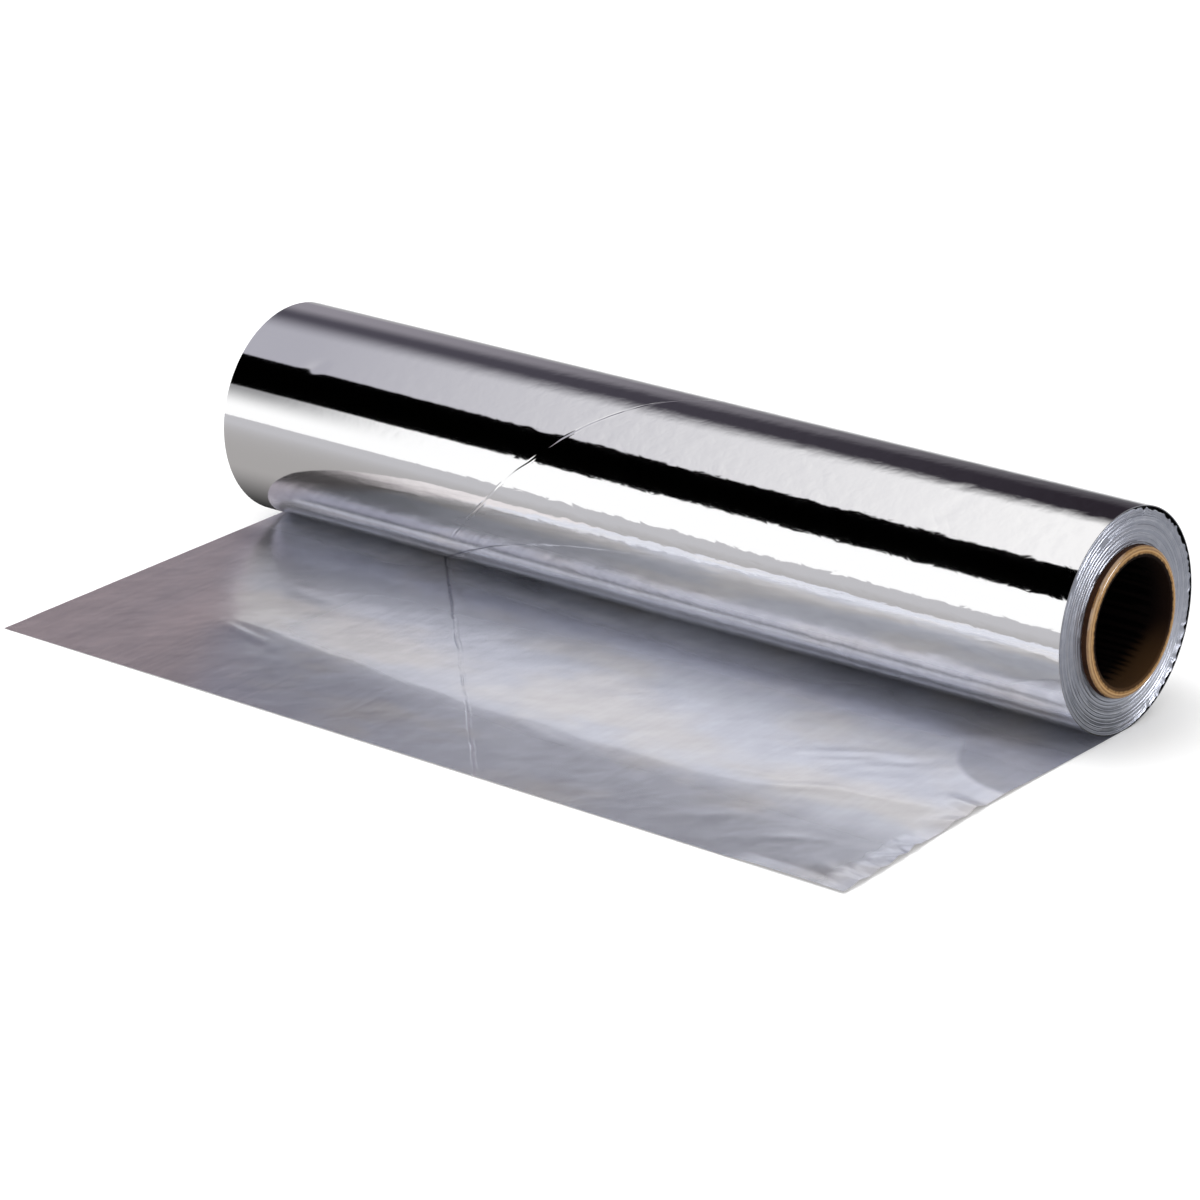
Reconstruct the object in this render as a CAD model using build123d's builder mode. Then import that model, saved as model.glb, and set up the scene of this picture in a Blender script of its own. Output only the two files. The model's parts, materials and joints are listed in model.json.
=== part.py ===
from build123d import *

import math
import os

# Sizes are in millimetres. The roll lies along X on a table, with the loose end of the foil drawn
# out over the table towards -Y. The origin is on the roll's axis, halfway along it.

# The foil, wound and flat.
foil_width = 300.0
wound_depth = 10.55
sheet_thickness = 0.3
flat_spot_width = 6.0
nip_radius = 0.25

# The ends of the turns, seen on both faces of the roll as one spiral step.
turn_pitch = 1.0
turn_step_width = 0.45
turn_step_depth = 0.45
inner_turn_margin = 0.5
outer_turn_margin = 0.9

# The loose end, cut a little askew: its two lengths are measured from below the roll's axis.
loose_length_left = 126.4
loose_length_right = 130.9
nip_length = 14.0
settle_length = 22.0
loose_sections = 16
loose_points = 24

# A low fold along the loose end: it climbs gently from the roll and falls faster in front. It dies
# out before the left edge, and bends back towards the roll at the right one.
fold_height = 1.3
fold_out = 89.0
fold_fall = 20.0
fold_softness = 0.15
fold_bend = 19.0
fold_bend_start = 75.0
fold_bend_length = 70.0
fold_left_end = -125.0
fold_left_length = 30.0
fold_right_end = 105.0
fold_right_length = 45.0

# The handled right edge: a crimped, lifted strip, a pushed-in patch beside the roll and a lifted
# front corner.
crimp_height = 1.0
crimp_pitch = 17.0
crimp_depth = 6.0
crimp_start = 62.0
patch_height = 0.55
patch_along = 128.0
patch_out = 50.0
patch_radius = 11.0
corner_lift = 1.0
corner_radius = 9.0

# The paperboard tube that carries the foil and stands out at both ends.
bore_diameter = 36.0
core_wall = 3.2
core_overhang = 2.4
core_outer_edge = 0.5
core_inner_edge = 0.4
winding_clearance = 0.05

# Sizes that follow from those above.
half_width = foil_width / 2
flat_spot_half = flat_spot_width / 2
core_radius = bore_diameter / 2 + core_wall
wound_inner_radius = core_radius + winding_clearance
roll_radius = wound_inner_radius + wound_depth
table_level = -math.sqrt(roll_radius**2 - flat_spot_half**2)
sheet_top = table_level + sheet_thickness


def smooth_rise(value):
    """A smooth step from 0 to 1 as the value goes from 0 to 1."""
    share = min(max(value, 0.0), 1.0)
    return share * share * (3 - 2 * share)


def front_edge(along):
    """How far the cut front edge lies from below the axis at a place along the roll."""
    share = (along + half_width) / foil_width
    return loose_length_left + (loose_length_right - loose_length_left) * share


def round_bump(along, out, centre_along, centre_out, radius):
    """A round bump of height 1 that fades over its radius."""
    distance = math.hypot(along - centre_along, out - centre_out)
    return math.exp(-((distance / radius) ** 2) / 2)


def fold(along, out):
    """Height of the low fold: the lower of its climb and its fall, with a soft crest between them."""
    crest = fold_out - fold_bend * smooth_rise((along - fold_bend_start) / fold_bend_length)
    climb = fold_height * max(out - nip_length, 0.0) / (crest - nip_length)
    fall = fold_height * math.exp(-(out - crest) / fold_fall)
    lower = -fold_softness * math.log(math.exp(-climb / fold_softness) + math.exp(-fall / fold_softness))
    left = smooth_rise((along - fold_left_end) / fold_left_length)
    right = smooth_rise((along - fold_right_end) / fold_right_length)
    return left * (1 - right / 2) * max(lower, 0.0)


def sheet_height(along, out):
    """Height of the loose sheet's underside over the table, along the roll and out from its axis."""
    settled = smooth_rise((out - nip_length) / settle_length)
    from_edge = half_width - along
    crimped = smooth_rise((out - crimp_start) / crimp_pitch) * math.exp(-from_edge / crimp_depth)
    crimp = 0.5 - 0.5 * math.cos(2 * math.pi * (out - crimp_start) / crimp_pitch)
    patch = round_bump(along, out, patch_along, patch_out, patch_radius)
    corner = round_bump(along, out, half_width, front_edge(half_width), corner_radius)
    return (
        settled * (fold(along, out) + patch_height * patch)
        + crimped * crimp_height * crimp
        + corner_lift * corner
    )


def spiral_side(first_radius, half_turns):
    """One side of the spiral step, drawn as half circles that grow by half a pitch each."""
    arcs = []
    for index in range(half_turns):
        centre = turn_pitch / 4 * (1 if index % 2 else -1)
        radius = first_radius + (index + 0.5) * turn_pitch / 2
        arcs.append(CenterArc((centre, 0), radius, -180 * index, -180))
    return arcs


# The foil is one sheet: the wound turns, the flat spot that they lie on and the loose end.
contact_angle = math.degrees(math.atan2(table_level, flat_spot_half))
front_radius = roll_radius - sheet_thickness / 2
nip_angle = math.degrees(math.asin((sheet_top - sheet_thickness / 2) / front_radius))
step_first_radius = wound_inner_radius + inner_turn_margin
step_last_radius = roll_radius - outer_turn_margin - turn_step_width
step_half_turns = int(2 * (step_last_radius - step_first_radius) / turn_pitch)

with BuildPart() as foil:
    with BuildSketch(Plane.YZ) as wound_section:
        with BuildLine():
            back_turn = CenterArc((0, 0), roll_radius, contact_angle, 90 - contact_angle)
            front_turn = CenterArc((0, sheet_thickness / 2), front_radius, 90, 90 - nip_angle)
            Polyline(
                front_turn @ 1,
                (-nip_length, sheet_top),
                (-nip_length, table_level),
                back_turn @ 0,
            )
        make_face()
        nip = wound_section.vertices().sort_by_distance(front_turn @ 1)[0]
        fillet(nip, nip_radius)
        Circle(wound_inner_radius, mode=Mode.SUBTRACT)
    extrude(amount=half_width, both=True)

    for side in (-1, 1):
        with BuildSketch(Plane.YZ.offset(side * half_width)):
            with BuildLine():
                inner_side = spiral_side(step_first_radius, step_half_turns)
                outer_side = spiral_side(step_first_radius + turn_step_width, step_half_turns)
                Line(inner_side[0] @ 0, outer_side[0] @ 0)
                Line(inner_side[-1] @ 1, outer_side[-1] @ 1)
            make_face()
        extrude(amount=-side * turn_step_depth, mode=Mode.SUBTRACT)

    for section in range(loose_sections + 1):
        along = -half_width * math.cos(math.pi * section / loose_sections)
        reach = front_edge(along) - nip_length
        outs = [nip_length + reach * step / loose_points for step in range(loose_points + 1)]
        with BuildSketch(Plane.YZ.offset(along)):
            with BuildLine():
                under = Spline([(-out, table_level + sheet_height(along, out)) for out in outs])
                over = Spline([(-out, sheet_top + sheet_height(along, out)) for out in outs])
                Line(under @ 0, over @ 0)
                Line(under @ 1, over @ 1)
            make_face()
    loft()

foil.part.label = "foil"

# The core tube runs through the roll, and its cut ends are eased inside and out.
with BuildPart() as core_tube:
    with BuildSketch(Plane.YZ):
        Circle(core_radius)
        Circle(bore_diameter / 2, mode=Mode.SUBTRACT)
    extrude(amount=half_width + core_overhang, both=True)
    rims = core_tube.edges().filter_by(GeomType.CIRCLE).sort_by(SortBy.RADIUS)
    chamfer(rims[2:], core_outer_edge)
    chamfer(rims[:2], core_inner_edge)

core_tube.part.label = "core_tube"

os.makedirs("parts", exist_ok=True)
for piece in (foil.part, core_tube.part):
    export_step(piece, f"parts/{piece.label}.step")
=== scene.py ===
"""Looks of an aluminium foil roll that lies on its side with its loose end drawn out in front."""

import json
import logging
import math
from collections.abc import Callable
from dataclasses import dataclass, field
from enum import Enum

import bmesh
import bpy
import numpy as np
from mathutils import Matrix, Vector


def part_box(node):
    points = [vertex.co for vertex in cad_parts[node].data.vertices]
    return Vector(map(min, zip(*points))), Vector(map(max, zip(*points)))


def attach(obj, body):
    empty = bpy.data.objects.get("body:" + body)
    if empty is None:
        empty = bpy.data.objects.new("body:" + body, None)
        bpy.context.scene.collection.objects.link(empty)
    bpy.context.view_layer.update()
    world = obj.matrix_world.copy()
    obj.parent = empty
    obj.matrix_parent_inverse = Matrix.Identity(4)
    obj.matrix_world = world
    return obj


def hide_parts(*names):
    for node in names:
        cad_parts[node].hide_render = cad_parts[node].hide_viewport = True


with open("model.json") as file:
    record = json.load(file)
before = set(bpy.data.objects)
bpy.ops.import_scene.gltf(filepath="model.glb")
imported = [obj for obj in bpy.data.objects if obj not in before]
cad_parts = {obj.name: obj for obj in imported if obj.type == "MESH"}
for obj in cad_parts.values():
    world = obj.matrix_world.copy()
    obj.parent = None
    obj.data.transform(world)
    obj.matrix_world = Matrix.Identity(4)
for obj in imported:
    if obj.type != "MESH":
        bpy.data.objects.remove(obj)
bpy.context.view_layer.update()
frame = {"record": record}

MM = 0.001
CLOSE = 1e-6
FULL_TURN = 2 * math.pi
BODY = "root"
WINDING_CLEARANCE = 0.05 * MM
CUT_SKEW = 4.5 * MM
log = logging.getLogger("foil_roll")

Colour = tuple[float, float, float]
Array = np.ndarray
Piece = bpy.types.Object
Socket = bpy.types.NodeSocket
Material = bpy.types.Material


class RollEnd(Enum):
    """The two ends of the roll, by the sign of X."""

    LEFT = -1
    RIGHT = 1


class Slot(Enum):
    """The material slots of the wound foil."""

    BRIGHT = 0
    EDGES = 1
    GAP = 2


def operator(operation: str, swapped: bool = False) -> Callable[["Signal", "Signal | float"], "Signal"]:
    """Makes an operator of Signal.

    Args:
        operation: The operation of the Math node that the operator adds.
        swapped: Whether the signal itself is the node's second value.

    Returns:
        The operator's method.
    """

    def method(signal: "Signal", other: "Signal | float") -> "Signal":
        """Adds the Math node."""
        pair = (other, signal) if swapped else (signal, other)
        return Signal.combine(signal.tree, operation, *pair)

    return method


class Signal:
    """A shader socket in Python arithmetic: each operation adds one Math node."""

    def __init__(self, tree: bpy.types.NodeTree, socket: Socket) -> None:
        """Wraps an output socket of a node tree."""
        self.tree = tree
        self.socket = socket

    def math(self, operation: str, *values: "Signal | float") -> "Signal":
        """Adds a Math node that has this value as its first input."""
        return Signal.combine(self.tree, operation, self, *values)

    @staticmethod
    def combine(tree: bpy.types.NodeTree, operation: str, *values: "Signal | float") -> "Signal":
        """Adds a Math node to a tree.

        Args:
            tree: The node tree.
            operation: The Math node's operation.
            values: All of its inputs, as signals or plain numbers.

        Returns:
            The node's result.
        """
        node = tree.nodes.new("ShaderNodeMath")
        node.operation = operation
        for slot, value in zip(node.inputs, values):
            if isinstance(value, Signal):
                tree.links.new(value.socket, slot)
            else:
                slot.default_value = value
        return Signal(tree, node.outputs[0])

    __add__ = __radd__ = operator("ADD")
    __mul__ = __rmul__ = operator("MULTIPLY")
    __sub__ = operator("SUBTRACT")
    __rsub__ = operator("SUBTRACT", swapped=True)
    __truediv__ = operator("DIVIDE")
    __rtruediv__ = operator("DIVIDE", swapped=True)

    def size(self) -> "Signal":
        """The value without its sign."""
        return self.math("ABSOLUTE")

    def wave(self) -> "Signal":
        """The sine of the value in radians."""
        return self.math("SINE")

    def power(self, exponent: float) -> "Signal":
        """The value raised to an exponent."""
        return self.math("POWER", exponent)

    def turned_from(self, other: "Signal") -> "Signal":
        """The angle of the point (other, self), in radians."""
        return self.math("ARCTAN2", other)

    def rise(self, low: float, high: float) -> "Signal":
        """A smooth step.

        Args:
            low: The value at which the step starts.
            high: The value at which it ends, which may be below low.

        Returns:
            0 at low, 1 at high.
        """
        first, last, start, end = (low, high, 0.0, 1.0) if low < high else (high, low, 1.0, 0.0)
        node = self.tree.nodes.new("ShaderNodeMapRange")
        node.interpolation_type = "SMOOTHSTEP"
        self.tree.links.new(self.socket, node.inputs["Value"])
        limits = {"From Min": first, "From Max": last, "To Min": start, "To Max": end}
        for name, value in limits.items():
            node.inputs[name].default_value = value
        return Signal(self.tree, node.outputs["Result"])

    def line(self, width: float) -> "Signal":
        """A soft line where the value is 0, of a given width to each side."""
        return self.size().rise(width, 0.0)


@dataclass
class Dressing:
    """The node tree of one material, and the ways in which nodes are added to it."""

    name: str
    material: Material = field(init=False)

    def __post_init__(self) -> None:
        """Makes the material with an empty tree."""
        self.material = bpy.data.materials.new(self.name)
        self.material.use_nodes = True
        self.tree = self.material.node_tree
        self.tree.nodes.clear()

    def node(
        self, kind: str, settings: dict | None = None, inputs: dict | None = None
    ) -> bpy.types.Node:
        """Adds one node.

        Args:
            kind: The node's type.
            settings: Its properties, set before its sockets.
            inputs: Values, signals or output sockets, by the name or number of an input.

        Returns:
            The new node.
        """
        node = self.tree.nodes.new(kind)
        for name, value in (settings or {}).items():
            setattr(node, name, value)
        for name, value in (inputs or {}).items():
            slot = node.inputs[name]
            if isinstance(value, Signal):
                self.tree.links.new(value.socket, slot)
            elif isinstance(value, Socket):
                self.tree.links.new(value, slot)
            else:
                slot.default_value = value
        return node

    def place(self) -> tuple[Signal, Signal, Signal]:
        """The surface point's X, Y and Z in metres."""
        coordinates = self.node("ShaderNodeTexCoord")
        parts = self.node("ShaderNodeSeparateXYZ", inputs={0: coordinates.outputs["Object"]})
        return tuple(Signal(self.tree, parts.outputs[axis]) for axis in range(3))

    def seen(self, ray: str) -> Signal:
        """Whether the shader is reached by one kind of ray, such as Is Camera Ray."""
        return Signal(self.tree, self.node("ShaderNodeLightPath").outputs[ray])

    def noise(
        self, stretch: tuple[float, ...], detail: float = 2.0, shift: float = 0.0, turn: float = 0.0
    ) -> Signal:
        """Smooth noise about 0.

        Args:
            stretch: Noise cells in each metre along X, Y and Z, or one number for all three.
            detail: Octaves of finer noise.
            shift: An offset that makes two noises differ.
            turn: A turn about Z in radians before the stretch.

        Returns:
            A value that is mostly from -0.5 to 0.5.
        """
        stretch = stretch if len(stretch) == 3 else stretch * 3
        point = self.node("ShaderNodeTexCoord").outputs["Object"]
        if turn:
            turned = {"Vector": point, "Rotation": (0.0, 0.0, turn)}
            point = self.node("ShaderNodeMapping", inputs=turned).outputs[0]
        placed = {"Vector": point, "Scale": stretch, "Location": (shift,) * 3}
        point = self.node("ShaderNodeMapping", inputs=placed).outputs[0]
        grain = {"Vector": point, "Scale": 1.0, "Detail": detail}
        noise = self.node("ShaderNodeTexNoise", inputs=grain)
        return Signal(self.tree, noise.outputs["Fac"]) - 0.5

    def blend(self, share: Signal, first: Colour | Socket, second: Colour | Socket) -> Socket:
        """Mixes two colours.

        Args:
            share: How much of the second colour there is.
            first: A colour of red, green and blue, or a colour socket.
            second: The other colour.

        Returns:
            The socket of the mixed colour.
        """
        colours = {
            slot: (*colour, 1.0) if isinstance(colour, tuple) else colour
            for slot, colour in ((6, first), (7, second))
        }
        mix = self.node("ShaderNodeMix", {"data_type": "RGBA"}, {0: share, **colours})
        return mix.outputs[2]

    def relief(self, height_mm: Signal) -> Socket:
        """The normal of a surface that is raised by a height in millimetres."""
        inputs = {"Strength": 1.0, "Distance": MM, "Height": height_mm}
        return self.node("ShaderNodeBump", inputs=inputs).outputs["Normal"]

    def surface(self, **inputs: object) -> Socket:
        """Adds a Principled surface.

        Args:
            inputs: The Principled node's inputs, with underscores for spaces.

        Returns:
            The surface's socket.
        """
        named = {name.replace("_", " "): value for name, value in inputs.items()}
        return self.node("ShaderNodeBsdfPrincipled", inputs=named).outputs[0]

    def close(self, surface: Socket) -> Material:
        """Ends the tree in a surface."""
        self.node("ShaderNodeOutputMaterial", inputs={"Surface": surface})
        return self.material

    def finish(self, **inputs: object) -> Material:
        """Ends the tree in one Principled surface, whose inputs are given by name."""
        return self.close(self.surface(**inputs))

    def glow(self, colour: Socket) -> Material:
        """Ends the tree in a plain glow of one colour."""
        emission = self.node("ShaderNodeEmission", inputs={"Color": colour, "Strength": 1.0})
        return self.close(emission.outputs[0])


@dataclass(frozen=True)
class Crease:
    """A straight crease in the foil, along the line where along = offset + slope * across."""

    offset: float
    slope: float
    width: float
    depth_mm: float

    def straight(self, along: Signal | Array, across: Signal | Array) -> Signal | Array:
        """How far places lie beside the straight line that the crease follows."""
        return (along - across * self.slope - self.offset) / math.hypot(1.0, self.slope)

    def beside(self, dress: Dressing, along: Signal, across: Signal) -> Signal:
        """How far a point lies beside the crease, which wanders a little."""
        return self.straight(along, across) + dress.noise((90,), 2, 27) * (1.6 * MM)

    def signal(self, dress: Dressing, along: Signal, across: Signal) -> Signal:
        """The crease's height in millimetres, as a groove that comes and goes.

        Args:
            dress: The material's node tree.
            along: The place along the roll.
            across: The place across it, as a length of sheet.

        Returns:
            The height, at most 0 in the groove and a little more beside it.
        """
        beside = self.beside(dress, along, across)
        strength = dress.noise((160,), 1, 21).rise(-0.16, 0.14) * 0.85 + 0.15
        groove = beside.line(self.width) * -self.depth_mm
        lip = (beside - self.width * 1.3).line(self.width) * (0.5 * self.depth_mm)
        return (groove + lip) * strength

    def mark(self, dress: Dressing, along: Signal, across: Signal) -> Signal:
        """How much painted shade darkens the groove, from 0 to 1, in dashes that fade away from the
        roll.
        """
        beside = self.beside(dress, along, across)
        dashes = dress.noise((110,), 1, 23) + across.rise(-0.052, -0.036) * 0.4
        near_roll = across.rise(-0.065, -0.04) * 0.8 + 0.2
        return beside.line(1.5 * self.width) * dashes.rise(-0.05, 0.12) * near_roll

    def height(self, along: Array, across: Array) -> Array:
        """The soft swelling to both sides of the crease, in metres."""
        share = self.straight(along, across) / self.width
        return self.depth_mm * MM * share * np.exp(-0.5 * (share / 1.6) ** 2)


@dataclass(frozen=True)
class BrightFoil:
    """The outer side of the foil: mirror-bright, with faint wrinkles that fray its reflections."""

    name: str = "bright_foil"
    colour: Colour = (0.91, 0.91, 0.915)
    roughness: float = 0.055
    calm_until: float = -0.06
    crinkle_mm: float = 0.10
    swell_mm: float = 0.020

    def material(self, radius: float, crease: Crease) -> Material:
        """Makes the material.

        Args:
            radius: The roll's radius, which turns an angle into a length of sheet.
            crease: The crease that crosses the roll.

        Returns:
            The material.
        """
        dress = Dressing(self.name)
        x, y, z = dress.place()
        around = z.turned_from(y * -1.0) * radius
        lively = x.rise(self.calm_until - 0.05, self.calm_until + 0.07) * 0.85 + 0.15
        patchy = dress.noise((60,), 1, 17).rise(-0.2, 0.25) * 0.8 + 0.2
        ridges = dress.noise((150, 190, 190), 1).size()
        waves = dress.noise((210, 250, 250), 0, 13)
        crinkle = (ridges + waves * 0.7) * patchy * self.crinkle_mm
        pits = dress.noise((420, 460, 460), 0, 3).size() * (0.24 * self.crinkle_mm)
        swell = dress.noise((14, 50, 50), 1, 7) * self.swell_mm
        height = (crinkle + pits) * lively + swell + crease.signal(dress, x, around)
        dull = dress.noise((30,), 3, 11).size() * 0.05
        return dress.finish(
            Base_Color=(*self.colour, 1.0),
            Metallic=1.0,
            Roughness=dull + self.roughness,
            Normal=dress.relief(height),
        )


@dataclass(frozen=True)
class SatinFoil:
    """The inner side of the foil: satin, with lines from the mill, wrinkles and duller, hazy zones.

    Its zones are set by X along the roll and by Y, which falls away from the roll towards the front.
    """

    name: str = "satin_foil"
    colour: Colour = (0.83, 0.85, 0.95)
    painted_shade_colour: Colour = (0.04, 0.04, 0.10)
    warm_colour: Colour = (0.90, 0.88, 0.90)
    crease_shade_colour: Colour = (0.16, 0.16, 0.24)
    pink_reflection_colour: Colour = (0.95, 0.89, 0.90)
    roughness: float = 0.24
    haze_roughness: float = 0.50
    haze_metal: float = 0.4
    haze_share: float = 0.03
    band_haze: float = 0.26
    handled_haze: float = 0.25
    handled_from: tuple[float, float] = (0.1425, 0.1465)
    handled_beyond: tuple[float, float] = (-0.086, -0.096)
    pressed_at: tuple[float, float] = (0.151, -0.028)
    pressed_reach: tuple[float, float] = (0.030, 0.029)

    def material(self, crease: Crease) -> Material:
        """Makes the material.

        Args:
            crease: The crease that crosses the loose end.

        Returns:
            The material.
        """
        dress = Dressing(self.name)
        x, y, _ = dress.place()
        # Where a pink reflection of the studio wall is painted on the left end of the sheet.
        at_left = (x + (y + 0.022) * 0.672).rise(-0.135, -0.157)
        pressed = self.pressed(x, y)
        wander = dress.noise((1, 160, 1), 1, 31) * 0.008
        handled = (x + wander).rise(*self.handled_from) * y.rise(*self.handled_beyond)
        crumple = dress.noise((90, 260, 1), 1, 43, 0.35)
        height = self.mill_relief(dress, y) + crease.signal(dress, x, y) + crumple * handled * 0.7
        colour = self.tint(dress, y, at_left, pressed)
        # Painted shade along the crease's groove.
        colour = dress.blend(crease.mark(dress, x, y) * 0.5, colour, self.crease_shade_colour)
        # Painted shade in the valleys of the crumpled strip along the right edge.
        colour = dress.blend(crumple.rise(0.0, -0.2) * handled * 0.35, colour, self.painted_shade_colour)
        dull = dress.noise((22, 9, 1), 3, 4) * 0.06
        streaks = dress.noise((900, 6, 1), 1, 6) * 0.04
        common = {"Base_Color": colour, "Normal": dress.relief(height)}
        clear = dress.surface(Metallic=1.0, Roughness=dull + streaks + self.roughness, **common)
        haze = dress.surface(Metallic=self.haze_metal, Roughness=self.haze_roughness, **common)
        before_fold = (y + x.rise(-0.115, 0.005) * 0.0095).rise(-0.093, -0.078)
        middle = y.rise(-0.027, -0.047) * before_fold * (1.0 - at_left) * (1.0 - pressed * 0.6)
        middle = middle * (x.rise(-0.125, -0.065) * 0.7 + 0.3)
        blotches = dress.noise((34, 60, 1), 2, 33).rise(-0.2, 0.2) * 0.5 + 0.6
        nip = y.rise(-0.030, -0.019) * (x.rise(0.08, -0.02) * 0.9 + 0.35) * blotches
        front = y.rise(-0.086, -0.098) * (1.0 - at_left) * 0.05 + x.rise(-0.06, 0.03) * 0.16
        share = (nip + middle) * self.band_haze + front + handled * self.handled_haze
        mix = dress.node("ShaderNodeMixShader", inputs={0: share + self.haze_share, 1: clear, 2: haze})
        return dress.close(mix.outputs[0])

    def pressed(self, x: Signal, y: Signal) -> Signal:
        """The pushed-in patch beside the roll, from 0 to 1."""
        along, away = x - self.pressed_at[0], y - self.pressed_at[1]
        reach_along, reach_away = (reach**2 for reach in self.pressed_reach)
        return (along * along / reach_along + away * away / reach_away).rise(1.06, 0.90)

    def mill_relief(self, dress: Dressing, y: Signal) -> Signal:
        """The height in millimetres of the lines from the mill and of the finest wrinkles."""
        leaning = dress.noise((210, 50, 1), 2, 3, 0.7).size() * 0.10
        other_way = dress.noise((190, 60, 1), 2, 8, -0.6).size() * 0.08
        patchy = dress.noise((24, 30, 1), 1, 19).rise(-0.15, 0.2) * 0.8 + 0.2
        fine = dress.noise((520, 340, 1), 1, 5) * 0.016
        lines = dress.noise((300, 9, 1), 2, 2) * (y.rise(-0.065, -0.03) * 0.05 + 0.05)
        hairlines = dress.noise((1500, 12, 1), 1, 12) * 0.006
        return (leaning + other_way) * patchy + fine + lines + hairlines

    def tint(self, dress: Dressing, y: Signal, at_left: Signal, pressed: Signal) -> Socket:
        """The colour without its marks.

        Args:
            dress: The material's node tree.
            y: The surface point's Y.
            at_left: Where the painted pink reflection at the left end is, from 0 to 1.
            pressed: Where the pushed-in patch is.

        Returns:
            The socket of the colour, in warm and cool patches, with a painted pink reflection at the
            left end and painted shade beside the roll and on the pushed-in patch.
        """
        band = y.rise(-0.050, -0.075) * y.rise(-0.095, -0.082) * 0.12
        warmth = dress.noise((22, 34, 1), 3, 9) + band
        mottle = dress.noise((95, 70, 1), 3, 15, 0.5).rise(-0.25, 0.3)
        grain = dress.noise((260, 120, 1), 4, 25, 0.75).rise(-0.30, 0.30)
        feed = dress.noise((520, 16, 1), 2, 29).rise(-0.30, 0.30)
        # Painted shade beside the roll, darkest a little way out from the nip, with random mottle and
        # painted shade on the pushed-in patch.
        shaded = y.rise(-0.037, -0.027) * 0.22 - y.rise(-0.025, -0.018) * 0.20
        shaded = shaded + mottle * 0.09 + pressed * y.rise(-0.030, -0.034) * 0.10
        colour = dress.blend(warmth.rise(-0.04, 0.22), self.colour, self.warm_colour)
        # Painted pink reflection on the left end.
        colour = dress.blend(at_left, colour, self.pink_reflection_colour)
        colour = dress.blend(shaded, colour, self.painted_shade_colour)
        return dress.blend(grain * 0.08 + feed * 0.05, colour, (0.0, 0.0, 0.0))


@dataclass(frozen=True)
class TurnEdges:
    """The cut edges of the wound turns, which together look like fine grooved metal."""

    name: str = "turn_edges"
    colour: Colour = (0.62, 0.65, 0.72)
    pale_colour: Colour = (0.80, 0.82, 0.87)
    roughness: float = 0.36
    band_pitch: float = 2.1 * MM

    def material(self) -> Material:
        """Makes the material."""
        dress = Dressing(self.name)
        _, y, z = dress.place()
        out = (y * y + z * z).power(0.5)
        wobble = dress.noise((40,), 1) * (0.5 * self.band_pitch)
        bands = ((out + wobble) * (FULL_TURN / self.band_pitch)).wave()
        patches = dress.noise((300,), 2, 4)
        share = (bands * 0.14 + patches * 0.8).rise(-0.35, 0.5)
        return dress.finish(
            Base_Color=dress.blend(share, self.colour, self.pale_colour),
            Metallic=1.0,
            Roughness=patches * 0.06 + self.roughness,
        )


@dataclass(frozen=True)
class TurnGap:
    """The gap under the loosest outer turn, coloured near-black as painted shade."""

    name: str = "turn_gap_shade"
    # Near-black, as painted shade in the gap.
    colour: Colour = (0.015, 0.014, 0.016)

    def material(self) -> Material:
        """Makes the material."""
        dress = Dressing(self.name)
        grain = dress.noise((500,), 1)
        rough = grain * 0.3 + 0.5
        return dress.finish(Base_Color=(*self.colour, 1.0), Metallic=1.0, Roughness=rough)


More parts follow.
